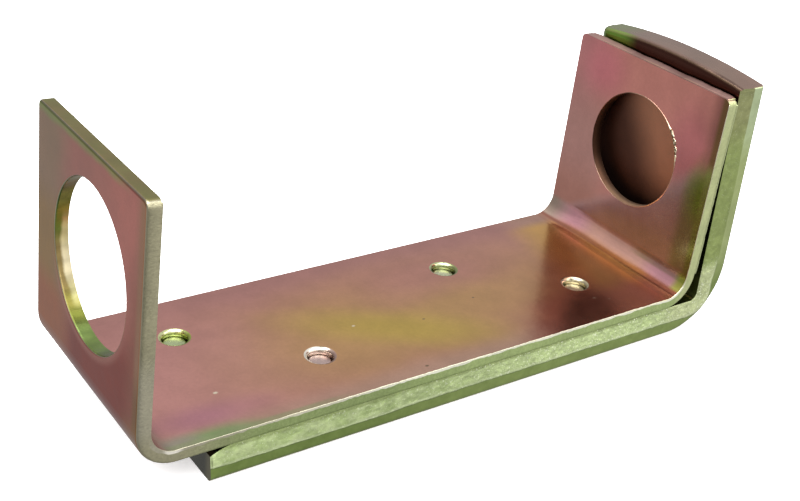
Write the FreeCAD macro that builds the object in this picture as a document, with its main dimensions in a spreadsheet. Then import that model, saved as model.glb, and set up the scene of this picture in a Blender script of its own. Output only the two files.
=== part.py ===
import FreeCAD, Part
import math
import os
import Sketcher

os.makedirs("parts", exist_ok=True)

# A bracket of two stampings: a thin sheet folded into a U, and a thick plate
# folded into an L that backs the U's base and right flange.
# Frame: +X along the bracket, towards the backed flange; +Y across its width,
# away from the front edge; +Z up. The origin is under the middle of the
# bracket's box, in the plane of the backing plate's underside.

doc = FreeCAD.newDocument("bracket")

# ---------------------------------------------------------------- dimensions
sheet = doc.addObject("Spreadsheet::Sheet", "Dimensions")
ROWS = [
    # alias, value, what it is
    ("half_length", 62.80, "outer corner of the left flange's foot to the origin"),
    ("u_gauge", 2.30, "thickness of the U's sheet"),
    ("u_width", 40.0, "width of the U, along Y"),
    ("u_run", 116.60, "left foot to right foot of the U, outer corner to outer corner"),
    ("left_rise", 44.35, "left flange, underside of the base to its top"),
    ("right_rise", 42.55, "right flange, underside of the base to its top"),
    ("left_lean", 2.01, "left flange, foot to top outer edge, along X: leans in"),
    ("right_lean", 1.00, "right flange, foot to top outer edge, along X: leans out"),
    ("u_bend", 4.30, "inside radius of the U's bends"),
    ("left_bore_y", 0.90, "left flange hole, from the U's middle towards the front"),
    ("left_bore_z", 31.35, "left flange hole, above the origin plane"),
    ("right_bore_y", 0.60, "right flange hole, from the U's middle towards the back"),
    ("right_bore_z", 30.70, "right flange hole, above the origin plane"),
    ("left_bore", 13.60, "radius of the left flange hole"),
    ("right_bore", 11.30, "radius of the right flange hole"),
    ("front_corner", 1.30, "radius of the flanges' front top corners"),
    ("back_corner", 1.00, "radius of the flanges' back top corners"),
    ("edge_roll", 0.55, "rolled edge left by the press on the U's outer face"),
    ("bore_roll", 0.35, "rolled rim of the flange holes"),
    ("plate_gauge", 6.10, "thickness of the backing plate"),
    ("upright_gauge", 6.50, "thickness of its upright, a little over the base's"),
    ("plate_width", 38.90, "width of the backing plate, along Y"),
    ("plate_shift", -0.55, "middle of the backing plate, from the U's middle"),
    ("plate_start", 12.60, "left foot to the left end of the plate"),
    ("plate_inner", 119.00, "left foot to the plate's inner corner"),
    ("plate_rise", 44.30, "base of the U to the front end of the plate's top arc"),
    ("plate_crown", 1.30, "rise of the top arc above its front end"),
    ("plate_sweep", 130.90, "radius of the top arc"),
    ("crown_at", 1.05, "crown of the top arc, from the plate's middle towards the front"),
    ("plate_lean", 1.15, "backing upright, base to the end of its arc, along X: leans in"),
    ("plate_inside", 1.50, "inside radius of the plate's bend"),
    ("plate_outside", 13.00, "outside radius of the plate's bend"),
    ("back_roll", 3.50, "rolled inner edge of the plate's back side"),
    ("top_roll", 1.00, "rolled inner edge of the plate's top"),
    ("end_drop", 1.30, "drop of the plate's top at its left end"),
    ("end_run", 4.80, "length of that drop"),
    ("shear_depth", 3.40, "depth of the torn band on the plate's front side"),
    ("shear_lean", 0.45, "lean of the torn band"),
    ("plate_roll", 1.10, "rolled front edge of the plate's outer face"),
    ("plate_edge", 0.40, "dulled back and top edges of the plate's outer face"),
    ("pip_a", -42.77, "first joint spot, along X"),
    ("pip_b", -23.23, "second joint spot, along X"),
    ("pip_c", 14.44, "third joint spot, along X"),
    ("pip_d", 34.79, "fourth joint spot, along X"),
    ("pip_back", 8.65, "back joint spots, along Y"),
    ("pip_front", -7.15, "front joint spots, along Y"),
    ("pip_hole", 2.15, "radius of the joint holes in the sheet"),
    ("pip_lip", 0.80, "rounded lip of the joint holes"),
    ("pip_radius", 2.05, "radius of the pips"),
    ("pip_rise", 1.15, "height of the pips above the plate"),
    ("pip_rim", 0.25, "rounded rim of the pips"),
    ("punch_radius", 2.20, "radius of the punch marks in the plate's underside"),
    ("punch_depth", 1.20, "depth of the punch marks"),
]
for i, (alias, value, note) in enumerate(ROWS, start=1):
    sheet.set("A%d" % i, note)
    sheet.set("B%d" % i, repr(value))
    sheet.setAlias("B%d" % i, alias)
doc.recompute()
D = {alias: float(sheet.get(alias)) for alias, _, _ in ROWS}


def cell(name):
    return "Dimensions." + name


def plane_of(body, role):
    for f in body.Origin.OriginFeatures:
        if f.Role == role:
            return f
    raise RuntimeError("no plane " + role)


def new_body(label):
    body = doc.addObject("PartDesign::Body", label)
    body.Label = label
    return body


def new_sketch(body, role, name):
    sk = body.newObject("Sketcher::SketchObject", name)
    sk.AttachmentSupport = [(plane_of(body, role), "")]
    sk.MapMode = "FlatFace"
    return sk


def V(x, y, z=0.0):
    return FreeCAD.Vector(x, y, z)


def outline(sk, pts):
    """A closed run of straight lines through pts."""
    n = len(pts)
    for i in range(n):
        a, b = pts[i], pts[(i + 1) % n]
        sk.addGeometry(Part.LineSegment(V(*a), V(*b)), False)
    for i in range(n):
        sk.addConstraint(Sketcher.Constraint("Coincident", i, 2, (i + 1) % n, 1))


def rule(sk, kind, *args, value=None, to=None, name=None):
    """Adds a constraint; a size is bound to the sheet."""
    if value is None:
        return sk.addConstraint(Sketcher.Constraint(kind, *args))
    c = sk.addConstraint(Sketcher.Constraint(kind, *args, value))
    sk.renameConstraint(c, name)
    sk.setExpression("Constraints." + name, to)
    return c


def edges_where(shape, test):
    out = []
    for i, e in enumerate(shape.Edges, start=1):
        if test(e):
            out.append("Edge%d" % i)
    return out


def box_of(e):
    return e.BoundBox


def fillet(body, base, names, cellname, label):
    if not names:
        raise RuntimeError("no edges for " + label)
    f = body.newObject("PartDesign::Fillet", label)
    f.Base = (base, names)
    f.Radius = D[cellname]
    f.setExpression("Radius", cell(cellname))
    body.Tip = f
    doc.recompute()
    return f


def checked(o, what):
    if not o.isValid() or o.Shape.isNull() or not o.Shape.isValid():
        raise RuntimeError(what + " failed")
    return o


H = D["half_length"]
BASE = D["plate_gauge"]          # the U's underside lies on the plate's top

# ------------------------------------------------------------------ u_bracket
ub = new_body("u_bracket")

# The section: a U of three straight runs with square corners, on the XZ plane.
g = D["u_gauge"]
x0, x1 = -H, -H + D["u_run"]
lt, rt = BASE + D["left_rise"], BASE + D["right_rise"]
ul = V(D["left_lean"], D["left_rise"]).normalize()      # up the left flange
ur = V(D["right_lean"], D["right_rise"]).normalize()    # up the right flange
nl = V(ul.y, -ul.x)                                     # from its outer to its inner face
nr = V(-ur.y, ur.x)


def on_line(p, d, z):
    s = (z - p.y) / d.y
    return (p.x + d.x * s, z)


P0, P1 = (x0, BASE), (x1, BASE)
lo_top = (x0 + D["left_lean"], lt)
ro_top = (x1 + D["right_lean"], rt)
li = V(x0 + g / ul.y, BASE)
ri = V(x1 - g / ur.y, BASE)
li_top = (lo_top[0] + nl.x * g, lo_top[1] + nl.y * g)
ri_top = (ro_top[0] + nr.x * g, ro_top[1] + nr.y * g)
li_foot = on_line(li, ul, BASE + g)
ri_foot = on_line(ri, ur, BASE + g)

sk = new_sketch(ub, "XZ_Plane", "u_section")
outline(sk, [P0, P1, ro_top, ri_top, ri_foot, li_foot, li_top, lo_top])
# 0 underside, 1 right outer, 2 right top, 3 right inner, 4 base top, 5 left inner, 6 left top, 7 left outer
rule(sk, "Horizontal", 0)
rule(sk, "Horizontal", 4)
rule(sk, "Parallel", 1, 3)
rule(sk, "Parallel", 5, 7)
rule(sk, "Perpendicular", 1, 2)
rule(sk, "Perpendicular", 5, 6)
rule(sk, "DistanceX", 0, 1, -1, 1, value=H, to=cell("half_length"), name="left_foot")
rule(sk, "DistanceY", -1, 1, 0, 1, value=BASE, to=cell("plate_gauge"), name="underside")
rule(sk, "DistanceX", 0, 1, 0, 2, value=D["u_run"], to=cell("u_run"), name="run")
rule(sk, "DistanceY", 0, 2, 4, 1, value=g, to=cell("u_gauge"), name="base_gauge")
rule(sk, "Distance", 3, 1, 1, value=g, to=cell("u_gauge"), name="right_gauge")
rule(sk, "Distance", 5, 1, 7, value=g, to=cell("u_gauge"), name="left_gauge")
rule(sk, "DistanceY", 0, 1, 7, 1, value=D["left_rise"], to=cell("left_rise"), name="left_height")
rule(sk, "DistanceY", 0, 2, 1, 2, value=D["right_rise"], to=cell("right_rise"), name="right_height")
rule(sk, "DistanceX", 0, 1, 7, 1, value=D["left_lean"], to=cell("left_lean"), name="left_slope")
rule(sk, "DistanceX", 0, 2, 1, 2, value=D["right_lean"], to=cell("right_lean"), name="right_slope")
doc.recompute()

pad = ub.newObject("PartDesign::Pad", "u_blank")
pad.Profile = sk
pad.SideType = "Symmetric"
pad.Length = D["u_width"]
pad.setExpression("Length", cell("u_width"))
ub.Tip = pad
doc.recompute()
checked(pad, "u_blank")


def along_y(e):
    b = box_of(e)
    return b.YLength > 20 and b.XLength < 0.01 and b.ZLength < 0.01


def near(v, w, tol=0.05):
    return abs(v - w) < tol


inner = edges_where(pad.Shape, lambda e: along_y(e) and near(box_of(e).ZMin, BASE + g))
tip = fillet(ub, pad, inner, "u_bend", "inner_bends")
outer = edges_where(tip.Shape, lambda e: along_y(e) and near(box_of(e).ZMin, BASE))
f = ub.newObject("PartDesign::Fillet", "outer_bends")
f.Base = (tip, outer)
f.Radius = D["u_bend"] + g
f.setExpression("Radius", cell("u_bend") + " + " + cell("u_gauge"))
ub.Tip = f
doc.recompute()
tip = checked(f, "outer_bends")


def bore(body, base, name, radius, y, z, to_right):
    """A round hole along X through one flange."""
    s = new_sketch(body, "YZ_Plane", name + "_sketch")
    s.addGeometry(Part.Circle(V(D[y] if to_right else -D[y], D[z]), V(0, 0, 1), D[radius]), False)
    rule(s, "Radius", 0, value=D[radius], to=cell(radius), name="radius")
    if to_right:
        rule(s, "DistanceX", -1, 1, 0, 3, value=D[y], to=cell(y), name="across")
    else:
        rule(s, "DistanceX", 0, 3, -1, 1, value=D[y], to=cell(y), name="across")
    rule(s, "DistanceY", -1, 1, 0, 3, value=D[z], to=cell(z), name="height")
    doc.recompute()
    before = base.Shape.Volume
    p = body.newObject("PartDesign::Pocket", name)
    p.Profile = s
    p.Type = "ThroughAll"
    p.Reversed = to_right
    body.Tip = p
    doc.recompute()
    checked(p, name)
    cut = before - p.Shape.Volume
    if not 0.9 < cut / (math.pi * D[radius] ** 2 * g) < 1.1:
        raise RuntimeError("%s cut %.1f" % (name, cut))
    ring = [v.X for v in p.Shape.Vertexes if abs(v.Z - D[z]) < 0.5 and abs(v.Y) < D[radius] + 3]
    if not ring or (max(ring) if to_right else -min(ring)) < 0:
        raise RuntimeError(name + " is on the wrong side")
    return p


tip = bore(ub, tip, "left_hole", "left_bore", "left_bore_y", "left_bore_z", False)
tip = bore(ub, tip, "right_hole", "right_bore", "right_bore_y", "right_bore_z", True)

# flange corners: small at the front, larger at the back
half = D["u_width"] / 2


def corner(e, side):
    b = box_of(e)
    return b.ZMin > BASE + 38 and b.YLength < 0.01 and 1.0 < b.XLength < 4 and near(b.YMin, side * half)


tip = fillet(ub, tip, edges_where(tip.Shape, lambda e: corner(e, -1)), "front_corner", "front_corners")
tip = fillet(ub, tip, edges_where(tip.Shape, lambda e: corner(e, 1)), "back_corner", "back_corners")

# the four joint holes in the base
s = new_sketch(ub, "XY_Plane", "joint_hole_sketch")
SPOTS = [("pip_a", "pip_back"), ("pip_b", "pip_front"), ("pip_c", "pip_back"), ("pip_d", "pip_front")]


def spots(s, radius):
    for i, (sx, sy) in enumerate(SPOTS):
        s.addGeometry(Part.Circle(V(D[sx], D[sy]), V(0, 0, 1), D[radius]), False)
        rule(s, "Radius", i, value=D[radius], to=cell(radius), name="radius%d" % (i + 1))
        if D[sx] > 0:
            rule(s, "DistanceX", -1, 1, i, 3, value=D[sx], to=cell(sx), name="along%d" % (i + 1))
        else:
            rule(s, "DistanceX", i, 3, -1, 1, value=-D[sx], to="-" + cell(sx), name="along%d" % (i + 1))
        if D[sy] > 0:
            rule(s, "DistanceY", -1, 1, i, 3, value=D[sy], to=cell(sy), name="across%d" % (i + 1))
        else:
            rule(s, "DistanceY", i, 3, -1, 1, value=-D[sy], to="-" + cell(sy), name="across%d" % (i + 1))


spots(s, "pip_hole")
doc.recompute()
before = tip.Shape.Volume
p = ub.newObject("PartDesign::Pocket", "joint_holes")
p.Profile = s
p.Type = "ThroughAll"
p.Reversed = True
ub.Tip = p
doc.recompute()
checked(p, "joint_holes")
if not near((before - p.Shape.Volume) / (4 * math.pi * D["pip_hole"] ** 2 * g), 1.0, 0.02):
    raise RuntimeError("joint holes cut %.1f" % (before - p.Shape.Volume))
tip = p


def is_ring(e, radius, z):
    b = box_of(e)
    return (
        e.Curve.TypeId == "Part::GeomCircle"
        and near(e.Curve.Radius, radius, 0.01)
        and b.ZLength < 0.01
        and near(b.ZMin, z, 0.01)
    )


tip = fillet(ub, tip, edges_where(tip.Shape, lambda e: is_ring(e, D["pip_hole"], BASE + g)), "pip_lip", "joint_lips")


# rolled rims of the flange holes, on the outer faces
def rim(e, left):
    b = box_of(e)
    r = D["left_bore"] if left else D["right_bore"]
    z = D["left_bore_z"] if left else D["right_bore_z"]
    if not (b.ZLength > 1.9 * r and b.YLength > 1.9 * r and b.XLength < 3):
        return False
    mid = (b.XMin + b.XMax) / 2
    at = on_line(V(x0, BASE), ul, z)[0] if left else on_line(V(x1, BASE), ur, z)[0]
    return near(mid, at, 0.3)


tip = fillet(ub, tip, edges_where(tip.Shape, lambda e: rim(e, True) or rim(e, False)), "bore_roll", "hole_rims")


# rolled edge all round the blank's outer face: both side edges and the flange tops
def outline_edge(e):
    b = box_of(e)
    if near(b.YMin, b.YMax, 0.01) and near(abs(b.YMin), half, 0.01):
        m = e.valueAt((e.FirstParameter + e.LastParameter) / 2)
        if near(m.z, BASE, 0.01) and abs(m.x) < H:
            return True
        for p0, d in ((V(x0, BASE), ul), (V(x1, BASE), ur)):
            if m.z > BASE + 8 and near(m.x, on_line(p0, d, m.z)[0], 0.02):
                return True
        r = D["u_bend"] + g
        if e.Curve.TypeId == "Part::GeomCircle" and near(e.Curve.Radius, r, 0.01):
            return True
    return False


seeds = edges_where(tip.Shape, outline_edge)
tip = fillet(ub, tip, seeds, "edge_roll", "rolled_edges")
checked(tip, "u_bracket")

# -------------------------------------------------------------- backing_plate
bp = new_body("backing_plate")
bp.setExpression("Placement.Base.y", cell("plate_shift"))
pg = D["plate_gauge"]
up = V(-D["plate_lean"], D["plate_rise"]).normalize()     # up the upright
xs = -H + D["plate_start"]
xi = -H + D["plate_inner"]
ztop = BASE + D["plate_rise"] + D["plate_crown"] + 1.0      # trimmed by the arc
q_in = (xi, pg)
q_in_top = on_line(V(xi, pg), up, ztop)
ug = D["upright_gauge"]
xo = xi + ug / up.y
q_out_top = on_line(V(xo, pg), up, ztop)
q_out = on_line(V(xo, pg), up, 0.0)

sk = new_sketch(bp, "XZ_Plane", "plate_section")
outline(sk, [(xs, 0.0), q_out, q_out_top, q_in_top, q_in, (xs, pg)])
# 0 underside, 1 outer face, 2 top, 3 inner face, 4 top of the base run, 5 left end
rule(sk, "Horizontal", 0)
rule(sk, "Horizontal", 2)
rule(sk, "Horizontal", 4)
rule(sk, "Vertical", 5)
rule(sk, "Parallel", 1, 3)
rule(sk, "PointOnObject", 0, 1, -1)
rule(sk, "DistanceX", 0, 1, -1, 1, value=-xs, to=cell("half_length") + " - " + cell("plate_start"), name="left_end")
rule(sk, "DistanceX", -1, 1, 3, 2, value=xi, to=cell("plate_inner") + " - " + cell("half_length"), name="inner_corner")
rule(sk, "DistanceY", 0, 1, 5, 1, value=pg, to=cell("plate_gauge"), name="base_gauge")
rule(sk, "Distance", 3, 1, 1, value=ug, to=cell("upright_gauge"), name="upright_gauge")
rule(sk, "DistanceY", 0, 1, 2, 1, value=ztop, to=cell("plate_gauge") + " + " + cell("plate_rise") + " + " + cell("plate_crown") + " + 1", name="stock_height")
lean = "%s * (1 + (%s + 1) / %s)" % (cell("plate_lean"), cell("plate_crown"), cell("plate_rise"))
rule(sk, "DistanceX", 3, 1, 3, 2, value=xi - q_in_top[0], to=lean, name="slope")
doc.recompute()

pad = bp.newObject("PartDesign::Pad", "plate_blank")
pad.Profile = sk
pad.SideType = "Symmetric"
pad.Length = D["plate_width"]
pad.setExpression("Length", cell("plate_width"))
bp.Tip = pad
doc.recompute()
checked(pad, "plate_blank")

# the drop at the left end, left by the shear
s = new_sketch(bp, "XZ_Plane", "end_drop_sketch")
er, ed = D["end_run"], D["end_drop"]
R = (er * er + ed * ed) / (2 * ed)
a = Part.Arc(V(xs, pg - ed), V(xs + er * 0.55, pg - (R - math.sqrt(R * R - (er * 0.45) ** 2))), V(xs + er, pg))
s.addGeometry(a, False)
s.addGeometry(Part.LineSegment(V(xs + er, pg), V(xs, pg)), False)
s.addGeometry(Part.LineSegment(V(xs, pg), V(xs, pg - ed)), False)
arc_start = 1 if near(s.getPoint(0, 1).x, xs, 0.01) else 2
arc_end = 3 - arc_start
rule(s, "Coincident", 0, arc_end, 1, 1)
rule(s, "Coincident", 1, 2, 2, 1)
rule(s, "Coincident", 2, 2, 0, arc_start)
rule(s, "Horizontal", 1)
rule(s, "Vertical", 2)
rule(s, "DistanceX", 1, 2, -1, 1, value=-xs, to=cell("half_length") + " - " + cell("plate_start"), name="end_at")
rule(s, "DistanceY", -1, 1, 1, 2, value=pg, to=cell("plate_gauge"), name="level")
rule(s, "DistanceX", 1, 2, 1, 1, value=er, to=cell("end_run"), name="run")
rule(s, "DistanceY", 2, 2, 2, 1, value=ed, to=cell("end_drop"), name="drop")
rule(s, "Radius", 0, value=R, to="(%s * %s + %s * %s) / (2 * %s)" % (cell("end_run"), cell("end_run"), cell("end_drop"), cell("end_drop"), cell("end_drop")), name="sweep")
doc.recompute()
p = bp.newObject("PartDesign::Pocket", "end_drop")
p.Profile = s
p.SideType = "Symmetric"
p.Type = "Length"
p.Length = D["plate_width"] + 2
p.setExpression("Length", cell("plate_width") + " + 2")
bp.Tip = p
doc.recompute()
checked(p, "end_drop")
if not 20 < pad.Shape.Volume - p.Shape.Volume < 200:
    raise RuntimeError("end drop cut %.1f" % (pad.Shape.Volume - p.Shape.Volume))
tip = p

hw = D["plate_width"] / 2

# the bend: tight inside, opened out outside where the plate has thinned
tip = fillet(bp, tip, edges_where(tip.Shape, lambda e: along_y(e) and near(box_of(e).ZMin, pg) and near(box_of(e).XMin, xi)), "plate_inside", "inner_bend")
tip = fillet(bp, tip, edges_where(tip.Shape, lambda e: along_y(e) and near(box_of(e).ZMin, 0) and box_of(e).XMin > 0), "plate_outside", "outer_bend")

# the sides: torn on the inner half at the front, rolled over at the back
def side_edge(e, side):
    b = box_of(e)
    return near(b.YMin, b.YMax, 0.01) and near(b.YMin, side * hw, 0.01)


def inner_side_edge(e, side):
    if not side_edge(e, side):
        return False
    m = e.valueAt((e.FirstParameter + e.LastParameter) / 2)
    if near(m.z, pg, 0.01) and m.x < xi:
        return True
    if m.z > pg + 3 and near(m.x, on_line(V(xi, pg), up, m.z)[0], 0.02):
        return True
    if e.Curve.TypeId == "Part::GeomCircle":
        return near(e.Curve.Radius, D["plate_inside"], 0.01) or near(e.Curve.Radius, R, 0.01)
    return False


def outer_side_edge(e, side):
    if not side_edge(e, side):
        return False
    m = e.valueAt((e.FirstParameter + e.LastParameter) / 2)
    if near(m.z, 0, 0.01):
        return True
    if m.z > 12 and near(m.x, on_line(V(xo, pg), up, m.z)[0], 0.02):
        return True
    return e.Curve.TypeId == "Part::GeomCircle" and near(e.Curve.Radius, D["plate_outside"], 0.01)


names = edges_where(tip.Shape, lambda e: inner_side_edge(e, -1))
c = bp.newObject("PartDesign::Chamfer", "torn_bands")
c.Base = (tip, names)
c.ChamferType = "Two distances"
c.Size = D["shear_lean"]
c.Size2 = D["shear_depth"]
c.setExpression("Size", cell("shear_lean"))
c.setExpression("Size2", cell("shear_depth"))
bp.Tip = c
doc.recompute()
tip = c
checked(c, "torn_bands")

tip = fillet(bp, tip, edges_where(tip.Shape, lambda e: inner_side_edge(e, 1)), "back_roll", "rolled_back")
checked(tip, "rolled_back")

# the top: a shallow arc across the width
s = new_sketch(bp, "YZ_Plane", "top_arc_sketch")
ze, zc = BASE + D["plate_rise"], BASE + D["plate_rise"] + D["plate_crown"]
hi = ztop + 4
AR = D["plate_sweep"]
ay = -D["crown_at"]


def arc_z(y):
    return zc - AR + math.sqrt(AR * AR - (y - ay) ** 2)


s.addGeometry(Part.Arc(V(-hw, arc_z(-hw)), V(ay, zc), V(hw, arc_z(hw))), False)
s.addGeometry(Part.LineSegment(V(hw, arc_z(hw)), V(hw, hi)), False)
s.addGeometry(Part.LineSegment(V(hw, hi), V(-hw, hi)), False)
s.addGeometry(Part.LineSegment(V(-hw, hi), V(-hw, arc_z(-hw))), False)
sl, sr = (1, 2) if s.getPoint(0, 1).x < 0 else (2, 1)
rule(s, "Coincident", 0, sr, 1, 1)
rule(s, "Coincident", 1, 2, 2, 1)
rule(s, "Coincident", 2, 2, 3, 1)
rule(s, "Coincident", 3, 2, 0, sl)
rule(s, "Vertical", 1)
rule(s, "Horizontal", 2)
rule(s, "Vertical", 3)
rule(s, "DistanceX", 0, 3, -1, 1, value=-ay, to=cell("crown_at"), name="crown")
rule(s, "Radius", 0, value=AR, to=cell("plate_sweep"), name="sweep")
rule(s, "DistanceY", 0, 3, -1, 1, value=AR - zc, to="%s - %s - %s - %s" % (cell("plate_sweep"), cell("plate_gauge"), cell("plate_rise"), cell("plate_crown")), name="level")
rule(s, "DistanceX", 3, 2, -1, 1, value=hw, to=cell("plate_width") + " / 2", name="front_side")
rule(s, "DistanceX", -1, 1, 1, 2, value=hw, to=cell("plate_width") + " / 2", name="back_side")
rule(s, "DistanceY", -1, 1, 1, 2, value=hi, to=cell("plate_gauge") + " + " + cell("plate_rise") + " + " + cell("plate_crown") + " + 5", name="clear")
doc.recompute()
before = tip.Shape.Volume
p = bp.newObject("PartDesign::Pocket", "top_arc")
p.Profile = s
p.Type = "ThroughAll"
p.Reversed = True
bp.Tip = p
doc.recompute()
checked(p, "top_arc")
if not 100 < before - p.Shape.Volume < 900:
    raise RuntimeError("top arc cut %.1f" % (before - p.Shape.Volume))
tip = p


# the top's inner edge, rolled over by the press and on round the back corner
def top_inner_edge(e):
    b = box_of(e)
    m = e.valueAt((e.FirstParameter + e.LastParameter) / 2)
    return b.ZMin > ze - 0.8 and b.YLength > 20 and b.XLength < 2 and near(m.x, on_line(V(xi, pg), up, m.z)[0], 0.05)


tip = fillet(bp, tip, edges_where(tip.Shape, top_inner_edge), "top_roll", "top_edge_roll")
checked(tip, "top_edge_roll")

# the outer face: a full roll along the front side, dulled at the back and top
tip = fillet(bp, tip, edges_where(tip.Shape, lambda e: outer_side_edge(e, -1)), "plate_roll", "outer_rolls")
checked(tip, "outer_rolls")
tip = fillet(bp, tip, edges_where(tip.Shape, lambda e: outer_side_edge(e, 1)), "plate_edge", "dulled_edges")
checked(tip, "dulled_edges")

# pips pressed up out of the plate, and the punch marks under them
s = new_sketch(bp, "XY_Plane", "pip_sketch")
shift = D["plate_shift"]


def plate_spots(s, radius):
    for i, (sx, sy) in enumerate(SPOTS):
        y = D[sy] - shift
        s.addGeometry(Part.Circle(V(D[sx], y), V(0, 0, 1), D[radius]), False)
        rule(s, "Radius", i, value=D[radius], to=cell(radius), name="radius%d" % (i + 1))
        if D[sx] > 0:
            rule(s, "DistanceX", -1, 1, i, 3, value=D[sx], to=cell(sx), name="along%d" % (i + 1))
        else:
            rule(s, "DistanceX", i, 3, -1, 1, value=-D[sx], to="-" + cell(sx), name="along%d" % (i + 1))
        if y > 0:
            rule(s, "DistanceY", -1, 1, i, 3, value=y, to=cell(sy) + " - " + cell("plate_shift"), name="across%d" % (i + 1))
        else:
            rule(s, "DistanceY", i, 3, -1, 1, value=-y, to=cell("plate_shift") + " - " + cell(sy), name="across%d" % (i + 1))


plate_spots(s, "pip_radius")
doc.recompute()
before = tip.Shape.Volume
p = bp.newObject("PartDesign::Pad", "pips")
p.Profile = s
p.Length = pg + D["pip_rise"]
p.setExpression("Length", cell("plate_gauge") + " + " + cell("pip_rise"))
bp.Tip = p
doc.recompute()
checked(p, "pips")
if not near((p.Shape.Volume - before) / (4 * math.pi * D["pip_radius"] ** 2 * D["pip_rise"]), 1.0, 0.02):
    raise RuntimeError("pips added %.2f" % (p.Shape.Volume - before))
tip = fillet(bp, p, edges_where(p.Shape, lambda e: is_ring(e, D["pip_radius"], pg + D["pip_rise"])), "pip_rim", "pip_rims")

s = new_sketch(bp, "XY_Plane", "punch_sketch")
plate_spots(s, "punch_radius")
doc.recompute()
before = tip.Shape.Volume
p = bp.newObject("PartDesign::Pocket", "punch_marks")
p.Profile = s
p.Type = "Length"
p.Reversed = True
p.Length = D["punch_depth"]
p.setExpression("Length", cell("punch_depth"))
bp.Tip = p
doc.recompute()
checked(p, "punch_marks")
if not near((before - p.Shape.Volume) / (4 * math.pi * D["punch_radius"] ** 2 * D["punch_depth"]), 1.0, 0.02):
    raise RuntimeError("punch marks cut %.2f" % (before - p.Shape.Volume))
tip = p

# ---------------------------------------------------------------------- write
doc.recompute()
for o in doc.Objects:
    if "Invalid" in o.State or "Error" in o.State:
        raise RuntimeError("%s is %s" % (o.Name, o.State))
bodies = [ub, bp]
for b in bodies:
    if b.Shape.isNull() or not b.Shape.isValid() or len(b.Shape.Solids) != 1:
        raise RuntimeError(b.Label + " has no valid single solid")
for b in bodies:
    bb = b.Shape.BoundBox
    print(
        "%s: x %.2f..%.2f y %.2f..%.2f z %.2f..%.2f volume %.0f"
        % (b.Label, bb.XMin, bb.XMax, bb.YMin, bb.YMax, bb.ZMin, bb.ZMax, b.Shape.Volume)
    )
    b.Shape.exportStep("parts/" + b.Label + ".step")
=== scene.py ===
import math

import bmesh
import bpy
from mathutils import Matrix, Vector, noise


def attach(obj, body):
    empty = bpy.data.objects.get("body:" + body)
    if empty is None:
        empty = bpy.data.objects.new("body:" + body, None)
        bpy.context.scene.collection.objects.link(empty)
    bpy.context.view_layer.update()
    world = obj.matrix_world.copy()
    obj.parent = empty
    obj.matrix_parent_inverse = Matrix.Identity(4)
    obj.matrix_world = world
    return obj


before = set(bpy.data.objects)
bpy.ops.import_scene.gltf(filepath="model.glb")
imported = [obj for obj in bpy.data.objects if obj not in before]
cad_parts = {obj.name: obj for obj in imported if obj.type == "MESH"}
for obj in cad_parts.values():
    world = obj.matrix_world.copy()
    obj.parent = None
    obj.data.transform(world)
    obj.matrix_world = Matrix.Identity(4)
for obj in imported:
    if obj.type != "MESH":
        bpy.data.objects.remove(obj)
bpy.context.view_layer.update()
scene = bpy.context.scene

# ---------------------------------------------------------------- dimensions
# millimetres, in the part's own frame; the same numbers as the CAD's sheet
H = 62.80                      # outer corner of the left foot to the origin
G, PG = 2.30, 6.10             # gauges of the sheet and of the backing plate
TOP = PG + G                   # top of the U's base
X0, X1 = -H, -H + 116.60       # outer corners of the U's feet
LEAN_L = 2.01 / 44.35          # the left flange leans in
LEAN_R = 1.00 / 42.55          # the right flange leans out
XQ = -H + 119.00               # inner corner of the backing plate
LEAN_P = 1.15 / 44.30          # its upright leans in
YF = 20.0                      # half the width of the U
PB = -0.55 + 19.45             # back edge of the backing plate
HOLE_L = (-0.90, 31.35, 13.60)
HOLE_R = (0.60, 30.70, 11.30)
BEND_IN = 1.5                  # inside radius of the plate's bend
TORN = 3.40                    # depth of the torn band
PIPS = [(-42.77, 8.65), (-23.23, -7.15), (14.44, 8.65), (34.79, -7.15)]


# ------------------------------------------------------------ shader helpers
class Sock:
    """A shader value that can be written as arithmetic."""

    def __init__(self, net, out):
        self.net, self.out = net, out

    def __add__(self, o):
        return self.net.math("ADD", self, o)

    __radd__ = __add__

    def __sub__(self, o):
        return self.net.math("SUBTRACT", self, o)

    def __rsub__(self, o):
        return self.net.math("SUBTRACT", o, self)

    def __mul__(self, o):
        return self.net.math("MULTIPLY", self, o)

    __rmul__ = __mul__

    def __truediv__(self, o):
        return self.net.math("DIVIDE", self, o)

    def __rtruediv__(self, o):
        return self.net.math("DIVIDE", o, self)

    def __neg__(self):
        return self.net.math("MULTIPLY", self, -1.0)


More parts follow.
